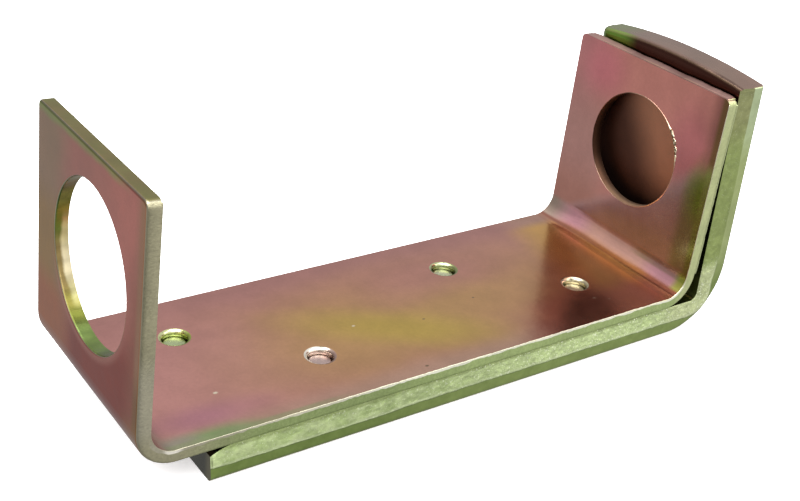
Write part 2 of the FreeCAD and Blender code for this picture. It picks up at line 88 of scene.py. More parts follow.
class Net:
    def __init__(self, name):
        self.mat = bpy.data.materials.new(name)
        self.mat.use_nodes = True
        self.tree = self.mat.node_tree
        self.tree.nodes.clear()
        self.shader = self.node("ShaderNodeBsdfPrincipled")
        end = self.node("ShaderNodeOutputMaterial")
        self.tree.links.new(self.shader.outputs["BSDF"], end.inputs["Surface"])
        tc = self.node("ShaderNodeTexCoord")
        mm = self.node("ShaderNodeVectorMath", operation="SCALE")
        self.tree.links.new(tc.outputs["Object"], mm.inputs[0])
        mm.inputs["Scale"].default_value = 1000.0
        self.pos = Sock(self, mm.outputs[0])
        self.x, self.y, self.z = self.split(self.pos)
        geo = self.node("ShaderNodeNewGeometry")
        self.normal = Sock(self, geo.outputs["Normal"])
        self.nx, self.ny, self.nz = self.split(self.normal)

    def node(self, kind, **props):
        n = self.tree.nodes.new(kind)
        for k, v in props.items():
            setattr(n, k, v)
        return n

    def put(self, inp, value):
        if isinstance(value, Sock):
            self.tree.links.new(value.out, inp)
        elif isinstance(value, (tuple, list)):
            v = tuple(value)
            inp.default_value = v + (1.0,) if len(inp.default_value) == 4 and len(v) == 3 else v
        else:
            inp.default_value = value

    def split(self, vec):
        n = self.node("ShaderNodeSeparateXYZ")
        self.put(n.inputs[0], vec)
        return [Sock(self, o) for o in n.outputs[:3]]

    def join(self, x, y, z):
        n = self.node("ShaderNodeCombineXYZ")
        for i, v in enumerate((x, y, z)):
            self.put(n.inputs[i], v)
        return Sock(self, n.outputs[0])

    def math(self, op, a, b=None, c=None, clamp=False):
        n = self.node("ShaderNodeMath", operation=op, use_clamp=clamp)
        for i, v in enumerate((a, b, c)):
            if v is not None:
                self.put(n.inputs[i], v)
        return Sock(self, n.outputs[0])

    def abs(self, a):
        return self.math("ABSOLUTE", a)

    def max(self, a, b):
        return self.math("MAXIMUM", a, b)

    def min(self, a, b):
        return self.math("MINIMUM", a, b)

    def hyp(self, a, b):
        return self.math("SQRT", a * a + b * b)

    def step(self, v, lo, hi, a=0.0, b=1.0):
        """Smoothly from a at lo to b at hi."""
        n = self.node("ShaderNodeMapRange", interpolation_type="SMOOTHSTEP", clamp=True)
        if lo > hi:
            lo, hi, a, b = hi, lo, b, a
        for i, k in enumerate((v, lo, hi, a, b)):
            self.put(n.inputs[i], k)
        return Sock(self, n.outputs[0])

    def noise(self, scale, detail=2.0, rough=0.5, warp=0.0, at=None, seed=0.0, stretch=None):
        """Noise with features of about 1/scale millimetres, from 0 to 1."""
        p = at or self.pos
        if stretch or seed:
            m = self.node("ShaderNodeMapping")
            self.put(m.inputs["Vector"], p)
            if stretch:
                m.inputs["Scale"].default_value = stretch
            m.inputs["Location"].default_value = (seed, seed * 1.7, seed * 0.6)
            p = Sock(self, m.outputs[0])
        n = self.node("ShaderNodeTexNoise")
        self.put(n.inputs["Vector"], p)
        for k, v in (("Scale", scale), ("Detail", detail), ("Roughness", rough), ("Distortion", warp)):
            n.inputs[k].default_value = v
        return Sock(self, n.outputs["Fac"])

    def voronoi(self, scale, feature="F1", stretch=None, out="Distance", seed=0.0):
        m = self.node("ShaderNodeMapping")
        self.put(m.inputs["Vector"], self.pos)
        m.inputs["Scale"].default_value = stretch or (1, 1, 1)
        m.inputs["Location"].default_value = (seed, seed, seed)
        n = self.node("ShaderNodeTexVoronoi", feature=feature)
        self.put(n.inputs["Vector"], Sock(self, m.outputs[0]))
        n.inputs["Scale"].default_value = scale
        return Sock(self, n.outputs[out])

    def mix(self, fac, a, b):
        n = self.node("ShaderNodeMix", data_type="RGBA", blend_type="MIX")
        self.put(n.inputs[0], fac)
        self.put(n.inputs[6], a)
        self.put(n.inputs[7], b)
        return Sock(self, n.outputs[2])

    def times(self, col, v, fac=1.0):
        """A colour made lighter or darker by a factor."""
        n = self.node("ShaderNodeMix", data_type="RGBA", blend_type="MULTIPLY")
        self.put(n.inputs[0], fac)
        self.put(n.inputs[6], col)
        if isinstance(v, Sock):
            v = self.join(v, v, v)
        self.put(n.inputs[7], v)
        return Sock(self, n.outputs[2])

    def bump(self, height, distance, strength=1.0, normal=None):
        n = self.node("ShaderNodeBump")
        self.put(n.inputs["Height"], height)
        n.inputs["Distance"].default_value = distance
        self.put(n.inputs["Strength"], strength)
        if normal is not None:
            self.put(n.inputs["Normal"], normal)
        return Sock(self, n.outputs[0])

    def blob(self, a, b, ca, cb, ra, rb, soft=0.5, wobble=None):
        """1 inside an oval about (ca, cb), falling to 0 outside it."""
        d = self.hyp((a - ca) / ra, (b - cb) / rb)
        if wobble is not None:
            d = d + wobble
        return self.step(d, 1.0 + soft, 1.0 - soft)


def rgb(hexa, k=1.0):
    """A screen colour as linear numbers, times k."""
    out = []
    for i in (0, 2, 4):
        c = int(hexa[i : i + 2], 16) / 255
        out.append(min(1.0, k * (c / 12.92 if c <= 0.04045 else ((c + 0.055) / 1.055) ** 2.4)))
    return tuple(out)


# ------------------------------------------------------------------ materials
def tone(hexa, light):
    """The tint that shows as this screen colour where the studio gives back light."""
    graze = {UP: 0.045, LEFT: 0.12}.get(light, 0.0)        # what any metal mirrors at a slant
    return tuple(min(1.0, max(0.015, (c - graze) / (1.0 - graze))) for c in rgb(hexa, 1.0 / light))


UP, LEFT, RIGHT, FRONT = 0.82, 0.50, 0.57, 0.80     # what the faces mirror


def masks(n):
    """Where on the bracket a point is, from its place and which way it faces."""
    level = n.step(n.nz, 0.80, 0.985)
    left = n.step(n.nx, -0.55, -0.95)            # faces that look towards -X
    front = n.step(n.ny, -0.45, -0.80) * n.step(n.y, -17.6, -18.2)
    return level, left, front


def sheet_material():
    n = Net("plated sheet")
    x, y, z = n.x, n.y, n.z
    level, left, front = masks(n)
    left = left * (1.0 - n.step(n.ny, -0.25, -0.6) * n.step(x, 0.0, -4.0))
    drift = (n.noise(0.045, 2.0, 0.5) - 0.5) * 14.0
    sway = (n.noise(0.06, 2.0, 0.5, seed=31.0) - 0.5) * 8.0
    xs, ys = x + drift, y + sway

    # the base: mauve at its left and back, tan, then yellow in front of its middle
    base = tone("A77C77", UP)
    base = n.mix(n.blob(xs, ys, 8.0, -1.0, 50.0, 15.0, 0.55), base, tone("AA8469", UP))
    base = n.mix(n.blob(xs, ys, -46.0, -3.0, 17.0, 14.0, 0.6), base, tone("B0837E", UP))
    base = n.mix(n.blob(xs, ys, -6.0, -5.0, 26.0, 10.0, 0.9), base, tone("AC8B66", UP))
    along = (x + 5.0) * 0.857 - (y + 6.0) * 0.514 + drift * 0.4
    across = (x + 5.0) * 0.514 + (y + 6.0) * 0.857 + sway * 0.25
    base = n.mix(n.blob(along, across, -1.0, 0.0, 17.0, 4.6, 0.8) * 0.9, base, tone("AE975A", UP))
    base = n.mix(n.blob(xs, ys, 10.0, 8.0, 16.0, 6.0, 0.8) * 0.7, base, tone("A87B76", UP))
    base = n.mix(n.step(y + sway * 0.3, 13.0, 20.0) * 0.8, base, tone("A07873", UP))
    base = n.mix(n.step(y + sway * 0.3, -14.0, -20.0) * 0.75, base, tone("A58B7B", UP))
    base = n.mix(n.blob(xs, y, -47.5, -14.2, 7.5, 2.6, 0.9) * 0.7, base, tone("A0747F", UP))
    base = n.mix(n.blob(xs, y, -48.5, -20.2, 7.0, 2.6, 0.7) * 0.95, base, tone("7A9468", UP))
    base = n.mix(n.blob(x, y, -55.2, -19.0, 3.4, 1.9, 0.7) * 0.85, base, tone("8C887C", UP))
    base = n.mix(n.step(y, -18.4, -19.2) * n.step(x + drift, -24.0, -34.0) * 0.6, base, tone("8A8F70", UP))
    base = n.mix(n.step(x, 18.0, 24.0) * n.step(y, -7.0, -12.0) * 0.7, base, (0.42, 0.18, 0.12))
    base = n.mix(n.step(x + drift * 0.3, 33.0, 43.0) * 0.9, base, n.mix(n.step(y, -8.0, -14.0), n.mix(n.step(y, 14.5, 18.0), n.mix(n.step(x, 45.0, 50.0) * n.step(y, 2.0, 10.0), (0.57, 0.325, 0.090), (0.62, 0.31, 0.15)), (0.43, 0.245, 0.185)), (0.50, 0.22, 0.125)))

    # the left flange's outer face: mauve above and near, olive-grey at the far side
    lf = tone("8B6660", LEFT)
    lf = n.mix(n.step(ys, 0.0, -13.0) * 0.9, lf, tone("966963", LEFT))
    lf = n.mix(n.step(ys, 2.0, 14.0) * 0.95, lf, tone("7D6C5E", LEFT))
    lf = n.mix(n.step(y, 7.0, 15.0) * n.step(z, 40.0, 31.0) * 0.9, lf, tone("7F6A50", LEFT))
    lf = n.mix(n.step(z + y * 0.35 + sway * 0.3, 27.0, 16.0) * n.step(y, 14.0, 4.0), lf, tone("744D3C", LEFT))
    lf = n.mix(n.step(y, 3.0, 12.0) * n.step(z, 25.0, 18.0) * 0.9, lf, tone("865E50", LEFT))
    rim_l = n.hyp(y - HOLE_L[0], z - HOLE_L[1])
    lf = n.mix(n.step(rim_l, 15.4, 13.9) * n.step(z, 30.0, 20.0) * 0.5, lf, tone("927068", LEFT))
    lf = n.mix(n.step(y, -13.5, -18.5) * n.step(z, 46.0, 32.0) * 0.7, lf, tone("7C5B52", LEFT))
    lf = n.mix(n.step(y, -16.0, -18.0) * n.step(z, 33.0, 42.0) * 0.6, lf, tone("8A695F", LEFT))
    # painted shade: a grey-brown strip along the rolled near edge of the left flange, darker low down
    lf = n.mix(n.step(y, -17.4, -18.9) * n.step(z, 10.0, 14.0) * 0.9, lf, n.mix(n.step(z, 16.0, 26.0), tone("6E5A48", LEFT), tone("82695A", LEFT)))
    lf = n.mix(n.step(z + (n.noise(0.12, 2.0, 0.5, seed=7.0) - 0.5) * 2.4, 48.5, 50.0) * n.step(y, -16.0, -8.0) * 0.8, lf, tone("727D56", LEFT))

    # the right flange's inner face: red-mauve, browner and olive towards the near edge
    rf = tone("A46D64", RIGHT)
    rf = n.mix(n.step(ys, 8.0, 19.0) * 0.8, rf, tone("996767", RIGHT))
    rf = n.mix(n.step(z, 44.0, 30.0) * n.step(y, 2.0, 11.0) * 0.9, rf, tone("926D66", RIGHT))
    rf = n.mix(n.step(z, 26.0, 15.0) * n.step(y, 4.0, 12.0) * 0.8, rf, tone("8A6055", RIGHT))
    rf = n.mix(n.blob(ys, z, -13.0, 36.0, 5.5, 8.0, 0.6) * 0.8, rf, tone("985C5E", RIGHT))
    rf = n.mix(n.blob(y, z, 12.0, 44.0, 5.0, 5.0, 0.8) * 0.7, rf, tone("A66068", RIGHT))
    low = n.step(z + y * 0.67 + sway * 0.4 + n.step(y, -2.0, 6.0) * 1.4, 25.0, 18.4)          # mirrors the base
    rf = n.mix(low, rf, (0.52, 0.355, 0.335))
    rf = n.mix(low * n.step(ys, -5.0, 12.0) * 0.9, rf, (0.54, 0.38, 0.37))
    rf = n.mix(low * n.step(z, 16.5, 12.5) * 0.8, rf, (0.56, 0.37, 0.45))
    rf = n.mix(n.step(y, -13.0, -16.0) * n.step(z, 40.0, 33.0) * low * 0.7, rf, (0.33, 0.33, 0.14))
    rf = n.mix(n.blob(y, z, -20.0, 28.8, 4.2, 6.6, 0.7), rf, (0.19, 0.26, 0.035))
    rf = n.mix(n.step(y, -15.6, -18.4) * n.step(z, 31.0, 38.0) * 0.85, rf, tone("7A5049", RIGHT))
    # painted shade: a dark strip along the rolled near edge, olive-brown high up and olive-green low down
    rf = n.mix(n.step(y, -17.9, -19.1) * n.step(z, 33.0, 36.5), rf, tone("60482F", RIGHT))
    rf = n.mix(n.step(y, -17.9, -19.1) * n.step(z, 36.5, 33.0) * 0.9, rf, (0.27, 0.31, 0.085))
    rf = n.times(rf, 1.0 - n.step(y, -13.5, -17.0) * n.step(z, 23.0, 20.0) * 0.18)
    rf = n.times(rf, 1.0 - n.blob(y, z, -14.5, 29.5, 4.0, 5.5, 0.9) * 0.24 - n.step(y, -11.0, -14.5) * n.step(z, 38.0, 43.0) * 0.16)

    # the bends, and the faces the photo doesn't show
    bend_r = n.step(x, 40.0, 46.0) * n.step(z, 13.2, 11.4) * n.step(z, 8.42, 8.75)
    lean = -n.nx + n.step(y, 9.0, 18.5) * 0.12 + (n.noise(0.12, 2.0, 0.5, seed=23.0) - 0.5) * 0.05
    # painted dark reflection: a dark red-brown band low in the right bend, below the pinkish highlight
    dark_reflection_band = bend_r * n.step(lean, 0.33, 0.415)
    vale = n.step(x, 40.0, 46.0) * n.step(z, 10.0, 9.0) * n.step(z, 8.3, 8.42)
    # painted highlight: a pinkish band across the right bend where it turns towards the flange, brighter further round
    bend_r = bend_r * n.step(lean - n.step(y, -5.0, -10.0) * 0.045, 0.50, 0.655)
    bend_highlight = n.mix(n.step(n.abs(y + 1.0), 12.0, 6.0), tone("C48D88", 0.80), tone("C9987E", 0.80))
    bend_highlight = n.times(bend_highlight, n.step(y, -8.0, -14.0, 1.0, 0.84))
    bend_highlight = n.mix(n.step(lean, 0.58, 0.80), n.times(bend_highlight, (0.84, 0.80, 0.80)), n.times(bend_highlight, (1.10, 1.13, 1.36)))
    bend_highlight = n.times(bend_highlight, 1.0 + n.step(lean, 0.79, 0.86) * n.step(lean, 0.95, 0.91) * 0.12)
    bend_highlight = n.mix(n.step(y, -16.8, -18.8), bend_highlight, tone("A4A050", 0.80))
    bend_highlight = n.mix(n.step(y, 12.0, 19.0), bend_highlight, tone("A69183", 0.80))
    foot = n.step(x, -55.0, -59.0) * n.step(z, 16.0, 11.0) * (1.0 - level)
    rest = n.mix(n.noise(0.05, 3.0, 0.55, seed=12.0), (0.50, 0.33, 0.20), (0.44, 0.26, 0.24))
    rest = n.mix(n.step(x, -50.0, -55.0) * n.step(z, 11.0, 15.0) * n.step(n.nx, 0.4, 0.1), rest, (0.40, 0.37, 0.27))
    rest = n.mix(n.step(x, -50.0, -55.0) * n.step(n.ny, -0.15, -0.40), rest, (0.40, 0.37, 0.27))

    col = n.mix(level, rest, base)
    far = n.step(x, 0.0, 4.0)
    col = n.mix(left * (1.0 - far), col, lf)
    col = n.mix(left * far, col, rf)
    # tints for the painted dark reflection in the right bend
    glow = n.mix(n.step(y, 0.0, 5.0), (0.32, 0.12, 0.043), (0.30, 0.120, 0.061))
    glow = n.mix(n.step(y, -3.5, -7.0), glow, (0.38, 0.145, 0.052))
    glow = n.mix(n.step(y, -9.5, -13.0), glow, (0.25, 0.082, 0.048))
    glow = n.mix(n.step(y, 8.0, 16.5), glow, (0.30, 0.122, 0.088))
    col = n.mix(dark_reflection_band, col, glow)
    # painted shade: the colour dimmed in a narrow band at the foot of the right bend, where it starts to turn
    painted_dim_band = vale * n.step(lean, 0.14, 0.23) * n.step(lean, 0.43, 0.37)
    calm = n.mix(n.step(y, 1.0, 6.0), n.times(col, (0.98, 0.90, 0.83)), n.times(col, (0.90, 0.85, 0.82)))
    calm = n.mix(n.step(y, 8.0, 10.5) * n.step(y, 15.5, 13.5), calm, n.times(col, (0.81, 0.69, 0.77)))
    col = n.mix(painted_dim_band, col, calm)
    reach = -n.nx
    shade = n.step(x, 40.0, 46.0) * n.step(z, 15.0, 13.0) * n.step(reach, 0.875, 0.925) * n.step(reach, 0.9985, 0.992) * n.step(y, -3.0, -9.0)
    # paint the pinkish highlight band into the right bend
    col = n.mix(bend_r, col, bend_highlight)
    col = n.mix(shade, col, n.times(col, (0.70, 0.79, 0.64)))
    col = n.mix(foot * left * n.step(y, -12.0, -19.0) * 0.7, col, tone("7A6450", LEFT))

    # tops of the flanges
    crest = level * n.step(z, 44.0, 46.0)
    top = n.mix(n.noise(0.25, 3.0, 0.6), (0.29, 0.185, 0.155), (0.34, 0.20, 0.185))
    top_l = n.mix(n.noise(0.25, 3.0, 0.6, seed=5.0), tone("786A54", UP), tone("6C7051", UP))
    col = n.mix(crest, col, n.mix(far, top_l, top))

    # painted shade: the rounded top edge of the left flange darkened by 30%
    brow_l = n.step(x, -50.0, -55.0) * n.step(z, 48.0, 49.5) * n.step(n.nz, 0.15, 0.40) * n.step(n.nz, 0.96, 0.80)
    col = n.times(col, 1.0 - brow_l * 0.30)

    # the walls of the two big holes
    wall = n.step(n.abs(n.nx), 0.75, 0.45)
    in_l = wall * n.step(rim_l, 14.3, 13.95) * (1.0 - far)
    rim_r = n.hyp(y - HOLE_R[0], z - HOLE_R[1])
    in_r = wall * n.step(rim_r, 12.0, 11.65) * far * n.step(z, 17.0, 18.5)
    facets = n.voronoi(0.5, stretch=(0.6, 1.0, 1.0), seed=4.0)
    wl = n.mix(n.step(z, 41.5, 38.8), (0.24, 0.25, 0.12), (0.066, 0.128, 0.028))
    wl = n.mix(n.step(z, 36.8, 33.4), wl, (0.175, 0.225, 0.042))
    wl = n.mix(n.step(z, 32.0, 28.0), wl, (0.26, 0.19, 0.075))
    # painted shade: darker bands low on the left hole's wall
    wl = n.mix(n.step(z, 23.4, 21.0), wl, (0.13, 0.115, 0.028))
    wl = n.mix(n.step(z, 20.6, 19.4), wl, (0.10, 0.11, 0.022))
    wl = n.mix(n.step(z, 19.2, 18.0), wl, (0.18, 0.25, 0.075))
    in_by = x - X0 - (z - PG) * LEAN_L + (n.noise(0.35, 3.0, 0.6, seed=17.0) - 0.5) * 0.9
    in_by = in_by + n.step(z, 31.0, 29.0) * n.step(z, 22.0, 25.0) * 0.35
    # painted highlight: a near-white strip along the inner side of the wall at mid-height
    gleam = n.step(in_by, 1.0, 1.6) * n.step(z, 35.0, 31.0) * n.step(z, 20.5, 25.0)
    wl = n.mix(gleam, wl, n.mix(n.step(z, 31.0, 26.0), (0.62, 0.53, 0.25), (0.78, 0.68, 0.44)))
    # painted shade on the inner side of the wall lower down
    wl = n.mix(n.step(in_by, 0.8, 1.7) * n.step(z, 25.0, 22.0) * n.step(z, 19.5, 21.5) * 0.7, wl, (0.27, 0.26, 0.12))
    wl = n.times(wl, n.step(facets, 0.1, 0.8, 1.12, 0.86))
    col = n.mix(in_l, col, wl)
    # painted shade: the right hole's wall dark, darker away from the flange's inner face, lighter only near its bottom
    wr = n.mix(n.step(z, 26.5, 21.0), (0.14, 0.07, 0.042), (0.34, 0.19, 0.12))
    wr = n.mix(n.step(z, 21.5, 19.5), wr, (0.52, 0.34, 0.22))
    wr = n.times(wr, n.step(x - (X1 - G) - (z - PG) * LEAN_R, 0.3, 1.8, 1.0, 0.35))
    col = n.mix(in_r, col, wr)

    # walls and lips of the four joint holes
    lips = None
    for i, (px, py) in enumerate(PIPS):
        d = n.hyp(x - px, y - py)
        ring = n.step(d, 3.25, 2.85) * n.step(z, 5.0, 6.0) * n.step(z, 9.0, 8.5)
        ring = ring * n.step(n.nz, 0.999, 0.97)
        tint = [(0.60, 0.62, 0.32), (0.85, 0.80, 0.70), (0.46, 0.50, 0.28), (0.66, 0.62, 0.46)][i]
        shady = [(0.30, 0.36, 0.07), (0.36, 0.24, 0.20), (0.26, 0.28, 0.12), (0.40, 0.34, 0.22)][i]
        # painted light and shade on each lip: a lit tint on one side, a shaded tint on the other
        lit = n.step((y - py) * 0.87 - (x - px) * 0.5 + (n.noise(0.9, 2.0, 0.5, seed=41.0 + i) - 0.5) * 3.0, -1.6, 1.4)
        tint = n.mix(lit, shady, tint)
        # painted shade spot inside the second pip's lip; dark flecks on the others
        dark_spot = n.blob(x, y, px + 1.5, py + 2.2, 0.75, 0.5, 0.7) if i == 1 else n.step(n.noise(0.8, 3.0, 0.6, seed=51.0 + i), 0.60, 0.68)
        tint = n.mix(dark_spot * 0.8, tint, (0.09, 0.07, 0.04))
        col = n.mix(ring, col, tint)
        lips = ring if lips is None else n.max(lips, ring)

    # the cut front edge: green-grey, drawn lines and torn grain
    grain = n.noise(2.2, 4.0, 0.65, seed=3.0)
    lines = n.noise(0.9, 3.0, 0.6, stretch=(2.0, 1.0, 0.6), seed=8.0)
    cut = n.mix(grain, tone("7B8C56", FRONT), tone("9FAC78", FRONT))
    cut = n.mix(n.step(x, -18.0, 2.0), cut, n.mix(grain, tone("8A9C62", FRONT), tone("AFBC85", FRONT)))
    cut = n.mix(n.step(x, -40.0, -58.0) * 0.9, cut, n.mix(grain, tone("8A8270", FRONT), tone("A09A80", FRONT)))
    cut = n.mix(n.step(x, 49.0, 51.5), cut, n.mix(grain, tone("ABB283", FRONT), tone("C2C697", FRONT)))
    cut = n.times(cut, n.step(lines, 0.3, 0.7, 0.95, 1.05))
    cut = n.mix(n.step(z, 7.0, 6.2) * n.step(x, -48.0, -44.0) * n.step(x, 50.0, 46.0) * 0.25, cut, tone("6C7A48", FRONT))
    deep = x - X0 - (z - PG) * LEAN_L
    leg = n.step(x, -54.0, -58.0) * n.step(z, 9.0, 14.0)
    # painted shade along the outer side of the left flange's cut edge, where it rolls over, and more at its foot; the
    # edge lighter higher up on its inner side, and greyer and lighter low down
    cut = n.times(cut, 1.0 - leg * n.step(deep, 0.9, 0.1) * 0.30 + leg * n.step(deep, 0.8, 2.0) * n.step(z, 20.0, 40.0) * 0.14)
    cut = n.mix(leg * n.step(z, 28.0, 21.0) * 0.35, cut, tone("A09C92", FRONT))
    cut = n.times(cut, 1.0 + leg * n.step(z, 30.0, 22.0) * 0.10)
    cut = n.times(cut, 1.0 - n.step(x, -54.0, -58.0) * n.step(z, 17.0, 10.0) * n.step(deep, 1.9, 0.4) * 0.22)
    ax = n.max(n.max(x - (z - PG) * LEAN_R - (X1 - G - 4.3), (X0 + G + 4.3) - x), 0.0)
    under = n.hyp(ax, n.max((PG + G + 4.3) - z, 0.0)) - 4.3
    wide = n.step(n.noise(0.25, 3.0, 0.65, seed=61.0), 0.30, 0.66, 0.17, 0.50) * n.step(z, 13.0, 9.5)
    # painted highlight: a near-white strip along the top of the cut edge where the burr runs, brightest from the
    # middle rightwards, dimmer to the left
    highlight_strip = n.step(under - wide, 0.07, -0.07) * n.step(z, 12.0, 10.0)
    highlight_tint = n.mix(n.step(x, -14.0, -34.0), (1.0, 0.99, 0.84), n.mix(n.step(x, -38.0, -50.0), (0.78, 0.74, 0.60), (0.46, 0.43, 0.33)))
    # painted highlight at the inside of the left bend
    highlight_tint = n.mix(n.step(n.abs(x + 56.6), 2.0, 0.8), highlight_tint, (0.95, 0.90, 0.80))
    cut = n.mix(highlight_strip * 0.92, cut, highlight_tint)
    col = n.mix(front, col, cut)

    # cloudiness in the plating, and a few specks on the base
    cloud = n.noise(0.16, 4.0, 0.6, seed=21.0)
    col = n.times(col, n.step(cloud, 0.25, 0.75, 0.93, 1.06))
    fine = n.noise(1.6, 3.0, 0.6, seed=14.0)
    col = n.times(col, n.step(fine, 0.2, 0.8, 0.965, 1.035))
    for cx, cy, r, light in (
        (-44.1, -9.2, 0.35, 1), (-13.0, -1.6, 0.28, 1), (34.5, -13.1, 0.35, 1),
        (13.0, -2.8, 0.26, 0), (-0.1, -5.1, 0.24, 0), (-8.5, -18.0, 0.3, 0),
        (37.0, -14.6, 0.22, 1),
    ):
        spot = n.blob(x, y, cx, cy, r * 1.1, r * 0.75, 0.6, wobble=(fine - 0.5) * 1.2) * level * n.step(z, 9.0, 8.6)
        col = n.mix(spot, col, (0.72, 0.62, 0.48) if light else (0.20, 0.13, 0.08))

    s = n.shader
    n.put(s.inputs["Base Color"], col)
    s.inputs["Metallic"].default_value = 1.0
    rough = 0.17 + cloud * 0.10
    rough = rough + front * (0.22 + grain * 0.15)
    rough = rough + in_l * 0.12 + in_r * 0.40 + crest * 0.28
    n.put(s.inputs["Roughness"], rough)
    h = n.bump(n.noise(0.35, 3.0, 0.5, seed=2.0), 0.00006, 0.35)
    h = n.bump(grain * front + lines * front * 0.6, 0.00012, 0.9, h)
    h = n.bump(facets * in_l, 0.00012, 0.7, h)
    n.put(s.inputs["Normal"], h)
    return n.mat


def plate_material():
    n = Net("plated plate")
    x, y, z = n.x, n.y, n.z
    level, left, front = masks(n)
    far = n.step(x, 0.0, 4.0)
    xp = x + (z - PG) * LEAN_P
    ax, az = n.max(xp - (XQ - BEND_IN), 0.0), n.max((PG + BEND_IN) - z, 0.0)
    depth = n.hyp(ax, az) - BEND_IN                    # below the inner face
    depth = n.math("ADD", depth, n.math("MULTIPLY", n.step(x, XQ - 6, XQ - 7), 0.0))

    grain = n.noise(1.5, 5.0, 0.68, seed=6.0)
    lines = n.noise(0.5, 3.0, 0.6, stretch=(1.2, 1.0, 1.2), seed=18.0)
    edge = depth + (n.noise(0.35, 4.0, 0.6, seed=7.0) - 0.5) * 0.45 + 0.12 - n.step(z, 9.0, 16.0) * n.step(z, 40.0, 32.0) * 0.3 - n.step(z, 9.0, 16.0) * 0.25 - n.step(x, -12.0, -19.0) * 0.24
    torn = n.step(edge, TORN + 0.12, TORN - 0.12)
    stand = n.step(z, 10.0, 16.0)                      # on the upright

    soft = n.step(n.noise(0.42, 2.0, 0.45, stretch=(0.8, 1.0, 1.3), seed=72.0), 0.36, 0.64, 0.2, 0.8)
    coarse = n.step(x, 12.0, -22.0, 0.15, 0.75)
    flake = grain * (1.0 - coarse) + soft * coarse
    t_col = n.mix(flake, tone("94A56C", FRONT), tone("BAC598", FRONT))
    t_col = n.mix(n.step(x, -8.0, 26.0) * 0.8, t_col, n.mix(flake, tone("A0B078", FRONT), tone("CCD8A8", FRONT)))
    # painted shadow: the top of the torn band darker under the U's edge
    t_col = n.mix(n.step(edge, 0.75, 0.35) * 0.6, t_col, tone("86925E", FRONT))
    t_col = n.mix(stand, t_col, n.mix(lines, tone("87935B", FRONT), tone("919D65", FRONT)))
    t_col = n.mix(n.step(z, 36.0, 46.0) * 0.8, t_col, tone("8A8A64", FRONT))
    bright = n.step(x, 44.0, 52.0) * n.step(z, 15.0, 11.5)
    t_col = n.mix(bright * 0.8, t_col, n.mix(grain, tone("A0A67C", FRONT), tone("C8CEA4", FRONT)))
    t_col = n.times(t_col, n.step(n.noise(0.75, 3.0, 0.6, seed=71.0), 0.32, 0.68, 0.90, 1.08))
    b_col = n.mix(lines, tone("6C7D42", FRONT), tone("7A8C50", FRONT))
    b_col = n.mix(n.step(x, -30.0, 4.0), b_col, n.mix(lines, tone("7A8B4E", FRONT), tone("8B9A5E", FRONT)))
    b_col = n.mix(n.step(z, 8.0, 18.0), b_col, n.mix(lines, tone("9BA76F", FRONT), tone("A8B27E", FRONT)))
    b_col = n.mix(n.step(z, 34.0, 44.0), b_col, n.mix(lines, tone("A9B48C", FRONT), tone("B4C29C", FRONT)))
    cut = n.mix(torn, b_col, t_col)
    # painted glints: near-white specks in the torn grain, fewer to the left and few on the upright
    glints = n.noise(3.4, 2.0, 0.5, seed=11.0)
    where = n.step(x, -30.0, 30.0, 0.35, 1.0) * torn
    glints = n.step(glints, 0.60, 0.70) * where * (1.0 - stand * 0.85)
    cut = n.mix(glints, cut, (0.95, 0.98, 0.80))
    # painted highlight along the lower edge of the torn band, on the base part only
    cut = n.mix(n.step(n.abs(edge - TORN + 0.3), 0.35, 0.10) * (1.0 - stand) * 0.25, cut, (0.80, 0.86, 0.62))
    cut = n.times(cut, n.step(lines, 0.25, 0.75, 0.96, 1.04))

    plain = n.mix(n.noise(0.05, 3.0, 0.55, seed=3.0), tone("91766C", UP), tone("8B776B", UP))
    back = n.step(y, 8.5, 16.0) * n.step(z, 46.0, 48.0)
    plain = n.mix(back * 0.9, plain, tone("7F8A58", UP))
    body = n.mix(n.noise(0.045, 3.0, 0.55, seed=9.0), (0.52, 0.33, 0.22), (0.40, 0.30, 0.18))
    # painted shade on the plate's inner face: dark towards the back and low down, near-black above the U's top and in
    # the gap by the near edge
    inner = n.mix(n.step(y - (z - 31.0) * 0.55, -5.5, 6.5), (0.40, 0.19, 0.115), (0.085, 0.038, 0.026))
    inner = n.times(inner, n.step(z, 28.0, 21.0, 1.0, 0.52))
    inner = n.mix(n.step(z, 43.0, 45.5), inner, (0.065, 0.025, 0.018))
    # green at the back end, brighter near the top as a painted highlight
    inner = n.mix(n.step(y, 7.0, 12.0) * n.step(z, 44.0, 46.0), inner, n.mix(n.step(z, 47.5, 49.8), (0.055, 0.11, 0.018), (0.20, 0.34, 0.055)))
    inner = n.mix(n.step(y, -13.0, -16.5) * n.step(z, 42.0, 38.0), inner, (0.03, 0.04, 0.008))
    col = n.mix(level, body, plain)
    brow = far * n.step(n.nx, -0.04, -0.35) * n.step(z, 44.0, 46.0)
    # painted shade across the rounded inner top edge: dark where it turns down, darker towards the near end; green at
    # the back end, lighter where it faces up
    roll = n.mix(n.step(n.nz, 0.60, 0.99), (0.030, 0.013, 0.009), (0.26, 0.17, 0.14))
    roll = n.times(roll, n.step(y, -11.0, -15.0, 1.0, 0.55))
    roll = n.mix(n.step(y, 7.0, 12.0), roll, n.mix(n.step(n.nz, 0.2, 0.8), (0.10, 0.18, 0.03), (0.24, 0.34, 0.08)))
    col = n.mix(left * far, col, inner)
    col = n.mix(brow * (1.0 - left), col, roll)
    nook = n.step(x, 50.0, 52.0) * n.step(z, 14.0, 10.0) * n.step(y, -14.0, -17.0) * n.step(depth, 1.6, 0.9)
    col = n.mix(nook, col, (0.22, 0.27, 0.07))
    col = n.mix(front, col, cut)
    # painted shade: the plate's left end face near-black, a little lighter at its near corner
    end = n.mix(n.step(y, -17.4, -19.3), (0.028, 0.028, 0.014), (0.11, 0.10, 0.052))
    col = n.mix(left * (1.0 - far), col, end)
